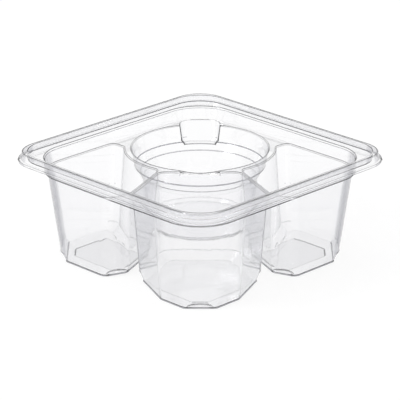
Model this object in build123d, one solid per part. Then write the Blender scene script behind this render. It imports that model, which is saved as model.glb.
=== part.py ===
"""Clear snack tray, formed from one plastic sheet: three pockets and a round dip well inside a rim for a lid.

Millimetres, +Z up. The origin is at the centre of the base and the sides lie along X and Y. The front pocket is
in the corner +X -Y, the side pockets are in the corners next to it, and the dip well is in the corner -X +Y.
The tray is its own mirror image across the diagonal that runs through the front pocket and the well.
"""
import os
from math import cos, hypot, radians, sin, sqrt, tan

from build123d import *

# Overall sizes
overall_side = 165.0
total_height = 66.0
sheet = 0.5
overrun = 5.0

# Rim: skirt with its lip, narrow top, fence, and the ledge that a lid sits on
skirt_height = 5.9
skirt_flare = 0.9
lip_height = 1.3
lip_width = 1.4
lip_rise = 0.5
rim_top_width = 1.9
rim_corner_radius = 17.5
rim_edge_round = 0.5
fence_height = 3.9
fence_draft = 0.3
fence_corner_radius = 19.0
ledge_width = 4.7
ledge_corner_radius = 25.0
ledge_round = 0.6

# Land: the level from which the pockets and the well go down
land_drop = 12.3
land_wall_draft = 0.4
land_shelf = 0.4
corner_radius = 24.0
divider_land = 2.4

# Pockets: wall draft, bottom bevel, foot band and floor panel
draft_angle = 4.2
bevel_height = 5.0
foot_height = 0.8
inner_bevel = 4.2
inner_panel_inset = 1.2
slight_bevel = 0.6
outer_panel_inset = 9.8
mouth_round = 0.7

# Facets and end walls of the pockets: how far each moves in by the bevel, foot and panel levels
front_corner_bevel = 4.0
front_corner_foot = 5.2
front_corner_panel = 12.4
shoulder_panel_inset = 2.8
divider_bevel = 1.3
divider_panel_inset = 4.1

# The same for the side pockets: corner and outer panel as shares of the pocket's run, and the end wall as shares of
# the radius of the wall round the well
side_corner_shares = (0.109, 0.1645, 0.232)
side_panel_share = 0.1465
side_end_shares = (0.122, 0.251, 0.429)

# Front facet of the side pockets: how deep it cuts its corner at the land, bevel, foot and panel levels, as shares of
# the pocket's run
side_facet_angle = 20.0
side_facet_shares = (0.1252, 0.153, 0.1444, 0.071)

# Plan of the pockets: distances of their walls from the tray's centre, as shares of the overall side, and of the side
# pockets' end wall from the well's axis, as a share of the wall round the well
front_side_share = 0.124
front_side_angle = 22.0
front_shoulder_share = 0.3115
front_shoulder_angle = 23.5
side_end_share = 0.693

# Upright corners of the pockets at the land, bevel, foot and panel levels, as shares of the corner radius
facet_shares = (0.96, 0.6, 0.13, 0.1)
shoulder_shares = (0.29, 0.25, 0.17, 0.13)
back_shares = (0.23, 0.29, 0.25, 0.2)
end_shares = (0.17, 0.1, 0.1, 0.08)
hug_end_shares = (0.13, 0.08, 0.08, 0.06)
wall_limit_share = 0.49

# Scallops pressed into the bottom corner of each pocket
scallop_radius = 8.2
scallop_height = 0.7
scallop_depth = 5.5
side_scallop_share = 0.352

# Dip well: how far each bend moves in from the top radius, and its drop below the land
well_top_radius = 42.0
well_edge_round = 0.6
well_margin = 2.3
well_land = 4.6
well_ridge = 1.8
well_step_inset = 2.4
well_step_drop = 10.4
well_seat_inset = 5.2
well_seat_drop = 15.2
well_cup_inset = 7.2
well_cup_drop = 18.6
well_floor_inset = 7.8
well_floor_round = 2.0
well_floor_height = 5.5

# Finger notch behind the well
notch_floor_drop = 11.6
notch_floor_width = 18.6
notch_waist_width = 22.4
notch_waist_rise = 2.4
notch_mouth_width = 25.0
notch_margin = 1.2
notch_run = 7.6
notch_floor_radius = 3.0
notch_mouth_radius = 8.0

# Saddle: the dip in the ridge between the well and the front pocket
saddle_width = 24.0
saddle_dip = 1.3

# Levels and half sides worked out from the sizes above
root_two = hypot(1, 1)
corner_cut = corner_radius * (root_two - 1)
ledge_level = total_height - fence_height
land_level = total_height - land_drop
skirt_level = total_height - skirt_height
draft = tan(radians(draft_angle))
wall_inset = draft * (land_level - bevel_height)
lip_half = overall_side / 2
skirt_half = lip_half - lip_width
rim_half = skirt_half - skirt_flare
fence_half = rim_half - rim_top_width
ledge_outer_half = fence_half - fence_draft
ledge_inner_half = ledge_outer_half - ledge_width
land_wall_half = ledge_inner_half - ledge_round
land_half = land_wall_half - land_wall_draft
pocket_half = land_half - land_shelf - mouth_round
front_side_distance = front_side_share * overall_side
well_offset = (land_half - well_top_radius - well_margin) * root_two
front_back_distance = well_top_radius - well_offset + well_ridge


def heading(angle):
    """Unit vector in plan at an angle from +X."""
    return cos(radians(angle)), sin(radians(angle))


front_x, front_y = heading(-45)
well_x, well_y = -well_offset * front_x, -well_offset * front_y
ROUND_WELL = None  # in place of a wall's angle: the wall runs round the well, and its distance is minus the radius


def offset_profile(points, distance):
    """Move a fold line of (half side, level) points to its left by a distance, mitred at its bends."""
    normals = []
    for (a0, z0), (a1, z1) in zip(points, points[1:]):
        length = hypot(a1 - a0, z1 - z0)
        normals.append(((z0 - z1) / length, (a1 - a0) / length))
    moved = []
    for i, (a, z) in enumerate(points):
        before = normals[max(i - 1, 0)]
        after = normals[min(i, len(normals) - 1)]
        scale = distance / (1 + before[0] * after[0] + before[1] * after[1])
        moved.append((a + scale * (before[0] + after[0]), z + scale * (before[1] + after[1])))
    return moved


def ring_stack(rings):
    """Solid through rounded squares, each given as half side, level and corner radius."""
    sections = [Pos(0, 0, level) * RectangleRounded(2 * half, 2 * half, radius) for half, level, radius in rings]
    return loft(sections, ruled=True)


def on_line(angle, distance, along):
    """Plan point on a wall line: out from the centre by a distance, then along the wall."""
    nx, ny = heading(angle)
    return distance * nx - along * ny, distance * ny + along * nx


def round_centre(before, after, radius):
    """Centre of the rounding, of a radius, where one wall meets the next. A wall is (outward angle, distance)."""
    (angle0, far0), (angle1, far1) = before, after
    if angle0 is not ROUND_WELL and angle1 is not ROUND_WELL:
        turn = radians(angle1 - angle0)
        return on_line(angle0, far0 - radius, (far1 - radius - (far0 - radius) * cos(turn)) / sin(turn))
    angle, far, side = (angle0, far0, -1) if angle1 is ROUND_WELL else (angle1, far1, 1)
    reach = radius - (far1 if angle1 is ROUND_WELL else far0)
    nx, ny = heading(angle)
    across = far - radius - (well_x * nx + well_y * ny)
    along = well_y * nx - well_x * ny + side * sqrt(reach**2 - across**2)
    return on_line(angle, far - radius, along)


def touch(wall, centre, radius):
    """Where a rounding touches a wall."""
    angle, far = wall
    if angle is not ROUND_WELL:
        nx, ny = heading(angle)
        return centre[0] + radius * nx, centre[1] + radius * ny
    share = far / (far - radius)
    return well_x + share * (centre[0] - well_x), well_y + share * (centre[1] - well_y)


def arc_about(centre, start, end):
    """Arc about a centre, the short way from start to end."""
    dx, dy = start[0] + end[0] - 2 * centre[0], start[1] + end[1] - 2 * centre[1]
    scale = hypot(start[0] - centre[0], start[1] - centre[1]) / hypot(dx, dy)
    return ThreePointArc(start, (centre[0] + scale * dx, centre[1] + scale * dy), end)


def wall_limit(corners, i, turn):
    """Largest radius of corner i that leaves half of the shorter wall beside it to the next corner."""
    (x, y), others = corners[i], (corners[i - 1], corners[(i + 1) % len(corners)])
    shorter = min(hypot(other_x - x, other_y - y) for other_x, other_y in others)
    return wall_limit_share * shorter / tan(radians(turn % 360) / 2)


def rounded_outline(walls, radii, growth, level):
    """Face at a level inside the given walls, with its corners rounded; corner i is where wall i starts."""
    edges = []
    starts = []
    ends = []
    pairs = list(zip(walls[-1:] + walls[:-1], walls))
    corners = [round_centre(before, after, 0) for before, after in pairs]
    for i, (before, after) in enumerate(pairs):
        turn = 90 if ROUND_WELL in (before[0], after[0]) else after[0] - before[0]
        radius = min(radii[i] + growth, wall_limit(corners, i, turn))
        centre = round_centre(before, after, radius)
        ends.append(touch(before, centre, radius))
        starts.append(touch(after, centre, radius))
        edges.append([arc_about(centre, ends[-1], starts[-1])])
    for i, (angle, _) in enumerate(walls):
        end = ends[(i + 1) % len(walls)]
        along = Line(starts[i], end) if angle is not ROUND_WELL else arc_about((well_x, well_y), starts[i], end)
        edges[i].append(along)
    return Pos(0, 0, level) * make_face([edge for pair in edges for edge in pair])


def stepped(top, bevel, foot, panel):
    """Distances at the five pocket levels: mouth, below its rounding, bevel, foot and panel."""
    return top + mouth_round, top - draft * mouth_round, top - bevel, top - foot, top - panel


def drafted(top, bevel, panel):
    """Distances of a wall with the usual draft, then a bevel to its foot and a step to the floor panel."""
    foot = wall_inset + bevel
    return stepped(top, wall_inset, foot, foot + panel)


def outer_wall(angle, panel):
    return angle, drafted(pocket_half, slight_bevel, panel)


def inner_wall(angle, top):
    return angle, drafted(top, inner_bevel, inner_panel_inset)


def corner_facet(angle, bevel, foot, panel):
    return angle, stepped(pocket_half * root_two - corner_cut, bevel, foot, panel)


def cut_corner(before, after, angle, cuts):
    """Facet across the corner of two walls, which it cuts by these depths from the land level down."""
    nx, ny = heading(angle)
    distances = []
    for far0, far1, cut in zip(before[1][1:], after[1][1:], cuts):
        x, y = round_centre((before[0], far0), (after[0], far1), 0)
        distances.append(x * nx + y * ny - cut)
    return angle, (distances[0] + (1 + draft) * mouth_round, *distances)


def shares_of(size, shares):
    return [size * share for share in shares]


def corner_radii(shares):
    """Upright corner radii at the five pocket levels."""
    land, *lower = shares_of(corner_radius, shares)
    return land + mouth_round, land, *lower


def pocket_solid(levels, walls, radii, growth):
    """Solid through the outlines that the walls make at the pocket levels."""
    sections = []
    for k, level in enumerate(levels):
        level_walls = [(angle, distances[k]) for angle, distances in walls]
        sections.append(rounded_outline(level_walls, [r[k] for r in radii], growth, level))
    return sections[0], loft(sections, ruled=True)


def scallop(place, growth):
    """Upright round plug at a place, from under the base to the scallop's height."""
    top = scallop_height + growth
    return Pos(*place, top - overrun) * extrude(Circle(scallop_radius + growth), overrun)


def pocket_pair(walls, radii, scallop_place):
    """Outside and inside solids of one pocket, from the walls of its inside."""
    bend = sheet * tan(radians(45) / 2)
    waist_level = land_level - mouth_round
    inside_levels = (land_level, waist_level, bevel_height + bend, foot_height + sheet, sheet)
    outside_levels = (land_level - sheet / root_two, waist_level - bend, bevel_height, foot_height, 0)
    outside_walls = []
    for angle, distances in walls:
        moved = offset_profile(list(zip(distances, inside_levels)), sheet)
        outside_walls.append((angle, [distance for distance, _ in moved]))
    _, outside = pocket_solid(outside_levels, outside_walls, radii, sheet)
    mouth, inside = pocket_solid(inside_levels, walls, radii, 0)
    inside += extrude(mouth, sheet, dir=(0, 0, 1))
    return outside - scallop(scallop_place, 0), inside - scallop(scallop_place, sheet)


def front_pocket():
    shoulder = drafted(front_shoulder_share * overall_side, slight_bevel, shoulder_panel_inset)
    facet = corner_facet(-45, front_corner_bevel, front_corner_foot, front_corner_panel)
    walls = [
        outer_wall(-90, outer_panel_inset),
        facet,
        outer_wall(0, outer_panel_inset),
        (front_shoulder_angle, shoulder),
        inner_wall(90 - front_side_angle, front_side_distance),
        inner_wall(135, -front_back_distance),
        inner_wall(180 + front_side_angle, front_side_distance),
        (270 - front_shoulder_angle, shoulder),
    ]
    facet_radii = corner_radii(facet_shares)
    shoulder_radii = corner_radii(shoulder_shares)
    back_radii = corner_radii(back_shares)
    radii = [
        shoulder_radii,
        facet_radii,
        facet_radii,
        shoulder_radii,
        shoulder_radii,
        back_radii,
        back_radii,
        shoulder_radii,
    ]
    reach = facet[1][3] - scallop_depth + scallop_radius
    return pocket_pair(walls, radii, (reach * front_x, reach * front_y))


def side_pocket():
    hug_radius = well_top_radius + well_land
    end_top = well_y - side_end_share * hug_radius
    run = pocket_half + end_top
    front = outer_wall(270, run * side_panel_share)
    divider = (front_side_angle, drafted(-front_side_distance - divider_land, divider_bevel, divider_panel_inset))
    facet = cut_corner(front, divider, -side_facet_angle, shares_of(run, side_facet_shares))
    walls = [
        outer_wall(180, run * side_panel_share),
        corner_facet(225, *shares_of(run, side_corner_shares)),
        front,
        facet,
        divider,
        inner_wall(ROUND_WELL, -hug_radius),
        (90, stepped(end_top, *shares_of(hug_radius, side_end_shares))),
    ]
    facet_radii = corner_radii(facet_shares)
    shoulder_radii = corner_radii(shoulder_shares)
    radii = [
        corner_radii(end_shares),
        facet_radii,
        facet_radii,
        shoulder_radii,
        shoulder_radii,
        corner_radii(end_shares),
        corner_radii(hug_end_shares),
    ]
    nx, ny = heading(-side_facet_angle)
    reach = facet[1][3] - scallop_depth + scallop_radius
    slide = side_scallop_share * overall_side
    return pocket_pair(walls, radii, (reach * nx + slide * ny, reach * ny - slide * nx))


def across_diagonal(solid):
    """Mirror image across the tray's diagonal."""
    return mirror(solid, Plane(origin=(0, 0, 0), z_dir=(1, 1, 0)))


def turned(points):
    """Solid turned about the well's axis from (radius, level) points that run from the floor up."""
    outline = [(0, points[0][1])] + points + [(0, points[-1][1])]
    face = Plane.XZ * make_face(Polyline(*outline, close=True))
    return Pos(well_x, well_y, 0) * revolve(face, Axis.Z)


def dip_well():
    """Outside and inside solids of the dip well."""
    floor = well_floor_height + sheet
    wall = [
        (well_top_radius - well_floor_inset - well_floor_round, floor),
        (well_top_radius - well_floor_inset, floor + well_floor_round),
        (well_top_radius - well_cup_inset, land_level - well_cup_drop),
        (well_top_radius - well_seat_inset, land_level - well_seat_drop),
        (well_top_radius - well_step_inset, land_level - well_step_drop),
        (well_top_radius, land_level - well_edge_round),
        (well_top_radius + well_edge_round, land_level),
    ]
    inside = turned(wall + [(wall[-1][0], land_level + sheet)])
    outside_wall = offset_profile(wall, -sheet)
    outside_wall[0] = (outside_wall[0][0], well_floor_height)
    return turned(outside_wall), inside


def notch_solid(growth, extra_height):
    """Finger notch: a tapered slot from the well's axis towards the rear corner, with a bevelled floor."""
    floor = land_level - notch_floor_drop - growth
    mouth_length = land_half * root_two - corner_cut - notch_margin - well_offset
    rise_share = notch_waist_rise / notch_floor_drop
    waist_radius = notch_floor_radius + rise_share * (notch_mouth_radius - notch_floor_radius)
    sections = []
    for width, run, radius, level in (
        (notch_floor_width, notch_run, notch_floor_radius, floor),
        (notch_waist_width, notch_run * (1 - rise_share), waist_radius, floor + notch_waist_rise),
        (notch_mouth_width, 0, notch_mouth_radius, land_level),
    ):
        length = mouth_length - run + growth
        plan = RectangleRounded(width + 2 * growth, length, radius + growth)
        sections.append(Pos(0, well_offset + length / 2, level) * plan)
    solid = loft(sections, ruled=True)
    if extra_height:
        solid += extrude(sections[-1], extra_height)
    return Rot(0, 0, 45) * solid


def saddle_pair():
    """Web that closes the ridge between the well and the front pocket, and the shallow round cut in its top."""
    web_height = saddle_dip + 2 * sheet
    reach = 3 * well_ridge
    middle = well_ridge / 2 - front_back_distance
    web = Pos(0, middle, land_level - web_height / 2) * Box(saddle_width, reach, web_height)
    radius = (saddle_width**2 / 4 + saddle_dip**2) / (2 * saddle_dip)
    cut = Pos(0, middle, land_level - saddle_dip + radius) * Rot(90, 0, 0) * Cylinder(radius, reach)
    cut &= Pos(0, middle, land_level) * Box(saddle_width, reach, 2 * saddle_dip)
    return Rot(0, 0, 45) * web, Rot(0, 0, 45) * cut


def rim_pair():
    """Rim and land wall: the outside solid, and what is taken out of it from above and from below."""
    climb = [
        (lip_half, skirt_level),
        (lip_half, skirt_level + lip_height),
        (skirt_half, skirt_level + lip_height + lip_rise),
        (rim_half, total_height - rim_edge_round),
        (rim_half - rim_edge_round, total_height),
    ]
    fence = [(fence_half, total_height), (ledge_outer_half, ledge_level)]
    descent = [
        (ledge_inner_half, ledge_level),
        (land_wall_half, ledge_level - 2 * ledge_round),
        (land_half, land_level),
        (land_half - land_shelf, land_level),
    ]
    descent_radii = [ledge_corner_radius, ledge_corner_radius - ledge_round, corner_radius]
    under = offset_profile(climb + fence + descent, sheet)
    climb_radii = [rim_corner_radius + half - rim_half for half, _ in climb]

    def rings(profile, radii, base_profile):
        changed = [radius + half - base for radius, (half, _), (base, _) in zip(radii, profile, base_profile)]
        return [(half, level, radius) for (half, level), radius in zip(profile, changed)]

    outside = ring_stack(rings(climb, climb_radii, climb))
    fence_radii = [fence_corner_radius] * 2
    above = ring_stack(rings(fence, fence_radii, fence))
    above += ring_stack(rings(descent[:3], descent_radii, descent[:3]))

    under_climb = rings(under[:5], climb_radii, climb)
    foot_half, foot_level, foot_radius = under_climb[0]
    under_climb[0] = (foot_half, foot_level - overrun, foot_radius)
    under_fence = rings(under[5:7], fence_radii, fence)
    pan = ring_stack(rings(under[7:10], descent_radii, descent[:3]))
    below = ring_stack(under_climb) - ring_stack(under_fence) - pan
    return outside - below + pan, above


def build_tray():
    rim, opening = rim_pair()
    left_outside, left_inside = side_pocket()
    front_outside, front_inside = front_pocket()
    well_outside, well_inside = dip_well()
    web, saddle = saddle_pair()
    tray = rim + front_outside + left_outside + across_diagonal(left_outside)
    tray += well_outside + notch_solid(sheet, 0) + web
    tray -= opening
    tray -= front_inside + left_inside + across_diagonal(left_inside)
    tray -= well_inside + notch_solid(0, sheet) + saddle
    return tray


os.makedirs("parts", exist_ok=True)
snack_tray = build_tray()
export_step(snack_tray, "parts/snack_tray.step")
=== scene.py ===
# %% [markdown]
# # A clear snack tray
# The tray is one sheet of clear plastic, heated and drawn down into a mould: three food pockets and a round well
# for a dip cup, inside a rim that takes a lid. The solid model already has every fold in its true place, so it is
# loaded first and nothing in it is moved. All sizes below are in metres, in the same frame as the solid.

# %% Load the frame
from math import hypot, radians, sqrt

import bmesh
import bpy
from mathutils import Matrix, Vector


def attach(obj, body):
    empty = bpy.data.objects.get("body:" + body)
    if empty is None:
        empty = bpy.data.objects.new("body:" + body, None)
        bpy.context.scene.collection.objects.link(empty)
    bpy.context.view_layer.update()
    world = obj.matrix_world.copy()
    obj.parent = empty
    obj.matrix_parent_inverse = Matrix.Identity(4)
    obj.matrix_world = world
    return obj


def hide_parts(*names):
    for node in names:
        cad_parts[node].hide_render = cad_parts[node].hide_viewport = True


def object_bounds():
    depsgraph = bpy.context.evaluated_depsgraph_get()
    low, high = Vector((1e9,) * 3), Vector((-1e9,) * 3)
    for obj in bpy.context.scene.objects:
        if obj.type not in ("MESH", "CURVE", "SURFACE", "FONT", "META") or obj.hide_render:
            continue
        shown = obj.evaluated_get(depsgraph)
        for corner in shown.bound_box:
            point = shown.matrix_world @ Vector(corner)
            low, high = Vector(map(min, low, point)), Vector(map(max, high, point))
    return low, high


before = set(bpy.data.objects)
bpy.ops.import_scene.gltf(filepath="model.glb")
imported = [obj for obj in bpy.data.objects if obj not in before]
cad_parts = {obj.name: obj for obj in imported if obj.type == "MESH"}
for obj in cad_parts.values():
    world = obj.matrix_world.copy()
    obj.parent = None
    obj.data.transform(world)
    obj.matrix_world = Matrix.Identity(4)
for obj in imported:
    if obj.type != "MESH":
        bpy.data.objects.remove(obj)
cad_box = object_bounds()
tray_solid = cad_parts["snack_tray"]
print("solid:", len(tray_solid.data.polygons), "triangles, box", [round(v, 4) for corner in cad_box for v in corner])

# %% [markdown]
# ## A short way to write nodes
# Node maths is easier to read as an expression than as a list of links. This small class wraps a socket, and its
# operators add Math nodes, so that `1 - mask` does what it says. Every other node comes from its one method `node`.

# %% Node expressions
ramp_middle = 0.5
first_colour, second_colour, mixed_colour = 6, 7, 2  # by number: the Mix node's sockets share their names
white = (1, 1, 1, 1)


class Wire:
    """One output socket, with the operators that the finishes here use."""

    def __init__(self, tree, socket):
        self.tree = tree
        self.socket = socket

    @staticmethod
    def node(tree, kind, settings, inputs, output=0):
        """Add a node: its settings first, then the values or wires of its sockets. Gives back one output."""
        made = tree.nodes.new(kind)
        for name, value in settings.items():
            if name == "stops":
                elements = made.color_ramp.elements
                while len(elements) < len(value):
                    elements.new(ramp_middle)
                for element, (place, shade) in zip(elements, value):
                    element.position = place
                    element.color = (shade, shade, shade, 1)
            else:
                setattr(made, name, value)
        for name, value in inputs.items():
            if isinstance(value, Wire):
                tree.links.new(value.socket, made.inputs[name])
            else:
                made.inputs[name].default_value = value
        return Wire(tree, made.outputs[output]) if made.outputs else made

    def math(self, operation, other, flipped=False):
        pair = (other, self) if flipped else (self, other)
        return Wire.node(self.tree, "ShaderNodeMath", {"operation": operation}, {0: pair[0], 1: pair[1]})

    def __add__(self, other):
        return self.math("ADD", other)

    def __rsub__(self, other):
        return self.math("SUBTRACT", other, flipped=True)

    def __mul__(self, other):
        return self.math("MULTIPLY", other)

    def __pow__(self, other):
        return self.math("POWER", other)

    def __abs__(self):
        return self.math("ABSOLUTE", 0)

    def most(self, other):
        return self.math("MAXIMUM", other)

    __radd__ = __add__
    __rmul__ = __mul__


def blend(tree, factor, first, second, mode="MIX"):
    """Mix two colours, or multiply the first by the second where the mode says so."""
    settings = {"data_type": "RGBA", "blend_type": mode}
    sockets = {"Factor": factor, first_colour: first, second_colour: second}
    return Wire.node(tree, "ShaderNodeMix", settings, sockets, mixed_colour)


def ease(tree, value, start, end):
    """0 below the start, 1 above the end, and a smooth rise between."""
    sockets = {"Value": value, "From Min": start, "From Max": end}
    return Wire.node(tree, "ShaderNodeMapRange", {"interpolation_type": "SMOOTHSTEP"}, sockets)


def vector(tree, operation, first, second, output="Vector"):
    """One step of vector maths."""
    return Wire.node(tree, "ShaderNodeVectorMath", {"operation": operation}, {0: first, 1: second}, output)


def new_material(name):
    """A material with no nodes, and its tree."""
    material = bpy.data.materials.new(name)
    material.use_nodes = True
    material.node_tree.nodes.clear()
    return material, material.node_tree


print("node helpers ready")

# %% [markdown]
# ## Clear plastic
# The real sheet is clear PET, about half a millimetre thick. It could be faked with a see-through colour, but then
# nothing would bend the light and the folds would not show. So the shader refracts, with the plastic's own index,
# and the base colour takes a little light away at each wall. Where a wall is seen edge on, the base colour is much
# darker, less so on level faces: painted shade for the grey that bent light gives there. The two side corners are
# wide rounds, so there that painted shade is a broad band. The side pockets' floor panels are a little greyer too.
# Forming leaves faint long waves in the walls, a slight bloom where the sheet touched the mould, and a haze on the
# stretched skirt: a weak bump and a change in roughness give those.

# %% The clear sheet's finish
MM = 0.001
zero = (0, 0, 0)
sideways = (sqrt(0.5), sqrt(0.5), 0)
over_all = 1.0
rim_corner = 62.7 * MM
skirt_reach = (16.2 * MM, 16.7 * MM)
skirt_haze = 0.05
# painted shade: a grey band where the two side corners turn edge on
side_corner_reach = (70 * MM, 76 * MM)
band_facing = (0.4, 0.54)
band_shade = (0.5, 0.5, 0.53, 1)
panel_reach = (36 * MM, 40 * MM)
panel_heights = (0.6 * MM, 1.0 * MM)
panel_levels = (0.996, 0.9995)
panel_shade = (0.915, 0.915, 0.92, 1)
facing_blend = 0.5
edge_on_power = 2.5
level_loss = 0.7
wave_stretch = (1, 1, 0.1)
wave_look = {"Scale": 55.0, "Detail": 2.0, "Roughness": 0.45}
bloom_look = {"Scale": 160.0, "Detail": 4.0, "Roughness": 0.6}
ripple_look = {"Strength": 0.05, "Distance": 1.0 * MM}
least_roughness = 0.02
bloom_roughness = 0.05
plastic_index = 1.5
sheet_tint = (0.983, 0.983, 0.989, 1)
# painted shade: the tint where the sheet is seen edge on
sheet_edge_shade = (0.49, 0.50, 0.54, 1)
# painted shade: the rods' grey, face on where thin and where full, and edge on, draws the fold lines
fold_thin_shade = (0.78, 0.78, 0.80, 1)
fold_full_shade = (0.58, 0.58, 0.61, 1)
fold_edge_shade = (0.3, 0.31, 0.34, 1)


def skirt_mask(tree, place):
    """1 on the skirt, 0 inside it: how far a point lies from a square with the rim's corner centres."""
    outward = vector(tree, "ABSOLUTE", place, zero)
    outward = vector(tree, "SUBTRACT", outward, (rim_corner, rim_corner, over_all))
    outward = vector(tree, "MAXIMUM", outward, zero)
    return ease(tree, vector(tree, "LENGTH", outward, zero, "Value"), *skirt_reach)


def plastic_tint(tree, place, thin, full, edge_on_shade):
    """Tint face on, thin or full; then painted shade edge on and in the side corners' bands; then greyer on the side
    floor panels.
    """
    fullness = Wire.node(tree, "ShaderNodeAttribute", {"attribute_name": "fullness"}, {}, "Fac")
    facing = Wire.node(tree, "ShaderNodeLayerWeight", {}, {"Blend": facing_blend}, "Facing")
    shape = Wire.node(tree, "ShaderNodeNewGeometry", {}, {}, "True Normal")
    upward = Wire.node(tree, "ShaderNodeSeparateXYZ", {}, {"Vector": shape}, "Z")
    level = upward * upward
    across = abs(vector(tree, "DOT_PRODUCT", place, sideways, "Value"))
    # painted shade: darker where the surface is seen edge on, less on level faces
    tint = blend(tree, facing**edge_on_power * (1 - level_loss * level), blend(tree, fullness, thin, full), edge_on_shade)
    # painted shade: a broad grey band at the side corners where they turn edge on
    band = ease(tree, across, *side_corner_reach) * ease(tree, facing, *band_facing) * (1 - level)
    tint = blend(tree, band, tint, band_shade)
    # the side pockets' floor panels are multiplied a little greyer
    height = Wire.node(tree, "ShaderNodeSeparateXYZ", {}, {"Vector": place}, "Z")
    panel = (1 - ease(tree, height, *panel_heights)) * ease(tree, level, *panel_levels)
    return blend(tree, panel * ease(tree, across, *panel_reach), tint, panel_shade, "MULTIPLY")


def clear_finish(name, thin, full, edge_on_shade):
    """Clear plastic, given its tint face on where thin and where a fold is full, and its painted shade edge on."""
    material, tree = new_material(name)
    place = Wire.node(tree, "ShaderNodeTexCoord", {}, {}, "Object")
    drawn = Wire.node(tree, "ShaderNodeMapping", {}, {"Vector": place, "Scale": wave_stretch})
    waves = Wire.node(tree, "ShaderNodeTexNoise", {}, {"Vector": drawn, **wave_look})
    bloom = Wire.node(tree, "ShaderNodeTexNoise", {}, {"Vector": place, **bloom_look})
    ripple = Wire.node(tree, "ShaderNodeBump", {}, {"Height": waves, **ripple_look})
    sockets = {
        "Base Color": plastic_tint(tree, place, thin, full, edge_on_shade),
        "Transmission Weight": 1.0,
        "IOR": plastic_index,
        "Roughness": least_roughness + bloom_roughness * bloom + skirt_haze * skirt_mask(tree, place),
        "Normal": ripple,
    }
    plastic = Wire.node(tree, "ShaderNodeBsdfPrincipled", {}, sockets)
    Wire.node(tree, "ShaderNodeOutputMaterial", {}, {"Surface": plastic})
    return material


clear_sheet = clear_finish("clear_sheet", sheet_tint, sheet_tint, sheet_edge_shade)
shaded_fold = clear_finish("shaded_fold", fold_thin_shade, fold_full_shade, fold_edge_shade)
print("finishes:", clear_sheet.name, shaded_fold.name)

# %% [markdown]
# ## Formed sheet
# The solid's mesh is loose flat triangles, and flat triangles would break the light at every step of a round corner.
# A Subdivision Surface would soften that but move the walls. So a copy of the mesh is welded and shaded smooth, with
# only its real folds kept sharp, and Weighted Normal keeps the flat walls flat up to the rounds. Every point stays
# where the solid has it, so the copy can stand for the solid.

# %% Weld and smooth the sheet
weld_distance = 0.02 * MM
soft_fold = radians(25)

welded = bmesh.new()
welded.from_mesh(tray_solid.data)
bmesh.ops.remove_doubles(welded, verts=welded.verts, dist=weld_distance)
welded.normal_update()
for edge in welded.edges:
    edge.smooth = edge.calc_face_angle(0) < soft_fold
for face in welded.faces:
    face.smooth = True
sheet_mesh = bpy.data.meshes.new("formed_sheet")
welded.to_mesh(sheet_mesh)
sheet_mesh.materials.append(clear_sheet)
formed_sheet = bpy.data.objects.new("formed_sheet", sheet_mesh)
bpy.context.scene.collection.objects.link(formed_sheet)
evener = formed_sheet.modifiers.new("even_normals", "WEIGHTED_NORMAL")
evener.mode = "FACE_AREA"
evener.keep_sharp = True
print("sheet:", len(sheet_mesh.vertices), "points,", len(sheet_mesh.polygons), "triangles")

# %% [markdown]
# ## Folds
# A formed sheet has no razor-sharp folds: the plastic bridges each corner of the mould in a small round, and there
# it is thicker. A clear tray shows mostly by those rounds, because a flat wall only lets the light through. A Bevel
# modifier tears on the sheet's long triangles. So the fold lines are picked out by the angle between their faces and
# by where they lie, and a thin rod of plastic is laid along each. The rods are fullest along the feet that make the
# tray's outline from the front, along the lip behind, and along the outer ends of the side pockets' floor panels.
# They are slight along the rest of the rim, the land and the other panel lines. The rods' grey tint is painted
# shade: it draws the lines that the real rounds show by bending the light, greyer where a rod is fuller and edge on.

# %% Pick out the fold lines
rod_shares = {
    "foot": 1.0,
    "rear_lip": 0.95,
    "side_panel": 0.9,
    "ring": 0.65,
    "shoulder": 0.6,
    "scallop": 0.5,
    "wall": 0.44,
    "rear_rim": 0.35,
    "panel": 0.25,
    "land": 0.22,
    "front_rim": 0.15,
}
sharp_fold = radians(31)
level_fold = radians(8)
panel_fold = radians(2)
slight_fold = radians(1)
foot_top = 1.5 * MM
foot_height = 0.8 * MM
foot_facing = -0.3
panel_facing = 0.1
scallop_facing = 0.5
waist_height = 35.1 * MM
waist_slack = 1.0 * MM
ring_heights = (38.5 * MM, 43.3 * MM)
land_height = 53.7 * MM
land_slack = 1.5 * MM
land_rear = -86 * MM
rim_bottom = 58 * MM
lip_bottom = 60.1 * MM
lip_slack = 0.1 * MM
rim_top = 65 * MM
fence_reach = 13 * MM
shoulder_length = 30 * MM
shoulder_start = 30 * MM
shoulder_facing = 0.075
side_start = 40 * MM
front = Vector((1, -1, 0)).normalized()
side = Vector((1, 1, 0)).normalized()


def outside(edge):
    """The level direction that the fold's outside faces."""
    outward = edge.link_faces[0].normal + edge.link_faces[1].normal
    outward.z = 0
    return outward.normalized()


def front_share(edge):
    """1 where the fold's outside faces the front pocket's corner, -1 where it faces the well's."""
    return outside(edge).dot(front)


def foot_kind(edge, middle, angle, is_level):
    """Folds under the foot: its own line, the floor panel's, and the scallops at the front."""
    if is_level and abs(middle.z - foot_height) < weld_distance and angle > level_fold:
        return "foot" if front_share(edge) > foot_facing else None
    if is_level and middle.z < weld_distance and angle > panel_fold:
        across = middle.dot(side)
        is_outer = abs(across) > side_start and across * outside(edge).dot(side) > 0
        return "side_panel" if is_outer and front_share(edge) < panel_facing else "panel"
    return "scallop" if angle > level_fold and front_share(edge) > scallop_facing else None


def rim_kind(middle):
    """Folds of the rim: the lip's lower edge, and the others but for the two where the lip and the fence turn out."""
    is_lip = abs(middle.z - lip_bottom) < lip_slack
    reach = hypot(*(max(abs(value) - rim_corner, 0) for value in middle.xy))
    if not (is_lip or middle.z > rim_top or reach < fence_reach):
        return None
    if middle.dot(front) > 0:
        return "front_rim"
    return "rear_lip" if is_lip else "rear_rim"


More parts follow.
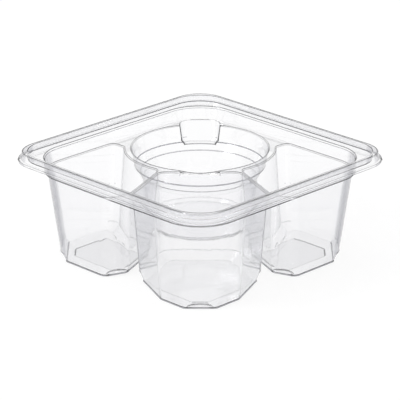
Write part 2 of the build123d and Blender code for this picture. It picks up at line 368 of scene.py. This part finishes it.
def fold_kind(edge):
    """Which fold of the tray an edge lies on; None where it is no fold or shows no line."""
    angle = edge.calc_face_angle_signed(0)
    middle = (edge.verts[0].co + edge.verts[1].co) / 2
    is_level = abs(edge.verts[0].co.z - edge.verts[1].co.z) < weld_distance
    if middle.z < foot_top:
        return foot_kind(edge, middle, angle, is_level)
    is_long = edge.calc_length() > shoulder_length and middle.dot(front) > shoulder_start
    if is_long and angle > slight_fold and abs(front_share(edge)) < shoulder_facing:
        return "shoulder"
    if is_level and min(abs(middle.z - height) for height in ring_heights) < weld_distance:
        return "ring"
    if is_level and abs(middle.z - waist_height) < waist_slack:
        return None
    if angle < (level_fold if is_level else sharp_fold):
        return None
    if middle.z > rim_bottom:
        return rim_kind(middle)
    if abs(middle.z - land_height) < land_slack:
        return "land" if is_level and middle.dot(front) > land_rear else None
    return "wall"


lines = bmesh.new()
fullness = lines.verts.layers.float.new("fullness")
ends = {}
kinds = []
for edge in welded.edges:
    kind = fold_kind(edge)
    if kind:
        kinds.append(kind)
        for vert in edge.verts:
            if vert not in ends:
                ends[vert] = lines.verts.new(vert.co)
            ends[vert][fullness] = max(ends[vert][fullness], rod_shares[kind])
        lines.edges.new([ends[vert] for vert in edge.verts])
fold_lines = bpy.data.meshes.new("fold_lines")
lines.to_mesh(fold_lines)
print("folds:", {kind: kinds.count(kind) for kind in rod_shares})
welded.free()
lines.free()

# %% [markdown]
# Geometry Nodes sweep a small circle along the lines, scaled at each point by the share that was stored there. The
# result is made into a plain mesh, and its points are kept within the solid's own box.

# %% Lay the rods
rod_radius = 0.55 * MM
rod_sides = 6

sweep_tree = bpy.data.node_groups.new("sweep_folds", "GeometryNodeTree")
sweep_tree.interface.new_socket("Lines", in_out="INPUT", socket_type="NodeSocketGeometry")
radius_input = sweep_tree.interface.new_socket("Rod Radius", in_out="INPUT", socket_type="NodeSocketFloat")
sides_input = sweep_tree.interface.new_socket("Rod Sides", in_out="INPUT", socket_type="NodeSocketInt")
sweep_tree.interface.new_socket("Rods", in_out="OUTPUT", socket_type="NodeSocketGeometry")
given = sweep_tree.nodes.new("NodeGroupInput").outputs
lines_in, radius_in, sides_in = (Wire(sweep_tree, given[name]) for name in ("Lines", "Rod Radius", "Rod Sides"))
curve = Wire.node(sweep_tree, "GeometryNodeMeshToCurve", {}, {"Mesh": lines_in})
circle_sizes = {"Resolution": sides_in, "Radius": radius_in}
circle = Wire.node(sweep_tree, "GeometryNodeCurvePrimitiveCircle", {}, circle_sizes, "Curve")
stored = {"data_type": "FLOAT"}
share = Wire.node(sweep_tree, "GeometryNodeInputNamedAttribute", stored, {"Name": "fullness"}, "Attribute")
sweep_sockets = {"Curve": curve, "Profile Curve": circle, "Scale": share, "Fill Caps": True}
swept = Wire.node(sweep_tree, "GeometryNodeCurveToMesh", {}, sweep_sockets)
swept = Wire.node(sweep_tree, "GeometryNodeRealizeInstances", {}, {"Geometry": swept})
swept = Wire.node(sweep_tree, "GeometryNodeSetMaterial", {}, {"Geometry": swept, "Material": shaded_fold})
Wire.node(sweep_tree, "NodeGroupOutput", {}, {"Rods": swept})

rods = bpy.data.objects.new("fold_rods", fold_lines)
bpy.context.scene.collection.objects.link(rods)
sweeper = rods.modifiers.new("sweep_folds", "NODES")
sweeper.node_group = sweep_tree
sweeper[radius_input.identifier] = rod_radius
sweeper[sides_input.identifier] = rod_sides
rod_mesh = bpy.data.meshes.new_from_object(rods.evaluated_get(bpy.context.evaluated_depsgraph_get()))
rods.modifiers.clear()
rods.data = rod_mesh
low, high = cad_box
for vert in rod_mesh.vertices:
    vert.co = [min(max(value, least), most) for value, least, most in zip(vert.co, low, high)]
print("rods:", len(rod_mesh.polygons), "faces, finish", [material.name for material in rod_mesh.materials])

# %% [markdown]
# ## White sweep
# The tray stands on a plain white sweep, a hair below its base so that the two don't lie in one plane. Its own
# diffuse surface takes the soft shadow. What the camera sees of it directly, or through the plastic, is lifted to
# white with a little emission on just those rays, so that no extra light falls on the tray.

# %% Floor
floor_size = 6.0
floor_gap = 0.1 * MM
floor_shade = 0.14
floor_lift = 0.89

bpy.ops.mesh.primitive_plane_add(size=floor_size, location=(0, 0, -floor_gap))
sweep = bpy.context.object
sweep.name = "white_sweep"
sweep_paint, tree = new_material("sweep_paint")
rays = tree.nodes.new("ShaderNodeLightPath").outputs
seen = Wire(tree, rays["Is Camera Ray"]).most(Wire(tree, rays["Is Glossy Ray"]))
seen = seen.most(Wire(tree, rays["Is Transmission Ray"]))
matt = Wire.node(tree, "ShaderNodeBsdfDiffuse", {}, {"Color": (floor_shade, floor_shade, floor_shade, 1)})
lift = Wire.node(tree, "ShaderNodeEmission", {}, {"Color": white, "Strength": seen * floor_lift})
paint = Wire.node(tree, "ShaderNodeAddShader", {}, {0: matt, 1: lift})
Wire.node(tree, "ShaderNodeOutputMaterial", {}, {"Surface": paint})
sweep.data.materials.append(sweep_paint)
print("floor:", floor_size, "m")

# %% [markdown]
# ## Light
# A clear thing is lit by its surroundings. The world is white along the horizon, where the camera looks through the
# tray, and a little greyer higher up, so that the rounds, which look up and sideways, draw the folds as grey lines.
# One large soft lamp stands at the upper left. On its way through the tray a ray can cross a dozen walls, with two
# faces each. With the usual limit on bounces it would end inside the plastic and show black, so the limit is raised.

# %% World and lamp
most_bounces = 48
sky_stops = [(0.0, 1.0), (0.28, 1.0), (0.5, 0.8), (1.0, 0.7)]
sky_fill = 0.75
lamp_width = 0.5
lamp_length = 0.8
lamp_power = 8.0
lamp_place = (-0.4, -1.0, 0.9)
lamp_tilt = radians(50)
lamp_turn = radians(-22)

world = bpy.data.worlds.new("studio")
bpy.context.scene.world = world
world.use_nodes = True
tree = world.node_tree
tree.nodes.clear()
direction = Wire.node(tree, "ShaderNodeTexCoord", {}, {}, "Generated")
height = Wire.node(tree, "ShaderNodeSeparateXYZ", {}, {"Vector": direction}, "Z")
surround = Wire.node(tree, "ShaderNodeValToRGB", {"stops": sky_stops}, {"Fac": height})
rays = tree.nodes.new("ShaderNodeLightPath").outputs
shiny = Wire(tree, rays["Is Glossy Ray"]).most(Wire(tree, rays["Is Transmission Ray"]))
ambient = blend(tree, shiny, (sky_fill, sky_fill, sky_fill, 1), surround)
shown = blend(tree, Wire(tree, rays["Is Camera Ray"]), ambient, white)
background = Wire.node(tree, "ShaderNodeBackground", {}, {"Color": shown, "Strength": 1.0})
Wire.node(tree, "ShaderNodeOutputWorld", {}, {"Surface": background})
bpy.context.scene.cycles.max_bounces = most_bounces
bpy.context.scene.cycles.transmission_bounces = most_bounces

key_light = bpy.data.lights.new("key_softbox", "AREA")
key_light.shape = "RECTANGLE"
key_light.size = lamp_width
key_light.size_y = lamp_length
key_light.energy = lamp_power
key = bpy.data.objects.new("key_softbox", key_light)
key.location = lamp_place
key.rotation_euler = (lamp_tilt, 0, lamp_turn)
bpy.context.scene.collection.objects.link(key)
print("lamp:", lamp_power, "W, bounces:", most_bounces)

# %% [markdown]
# ## Camera
# The photograph looks at a corner of the tray from well above, with a long lens. Fitting the rim's straight edges
# gave the distance, the height and the lens.

# %% Camera
lens_mm = 234.0
sensor_mm = 36.0
camera_place = (1.0312, -1.0312, 0.5938)
camera_tilt = radians(90 - 20.9923)
camera_turn = radians(45)

camera_data = bpy.data.cameras.new("camera")
camera_data.lens = lens_mm
camera_data.sensor_width = sensor_mm
camera = bpy.data.objects.new("camera", camera_data)
camera.location = camera_place
camera.rotation_euler = (camera_tilt, 0, camera_turn)
bpy.context.scene.collection.objects.link(camera)
bpy.context.scene.camera = camera
bpy.context.scene.view_settings.view_transform = "Standard"
print("camera at", tuple(round(v, 3) for v in camera.location))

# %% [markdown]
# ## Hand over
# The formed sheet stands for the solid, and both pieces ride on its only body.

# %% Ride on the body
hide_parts("snack_tray")
for piece in (formed_sheet, rods):
    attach(piece, "root")
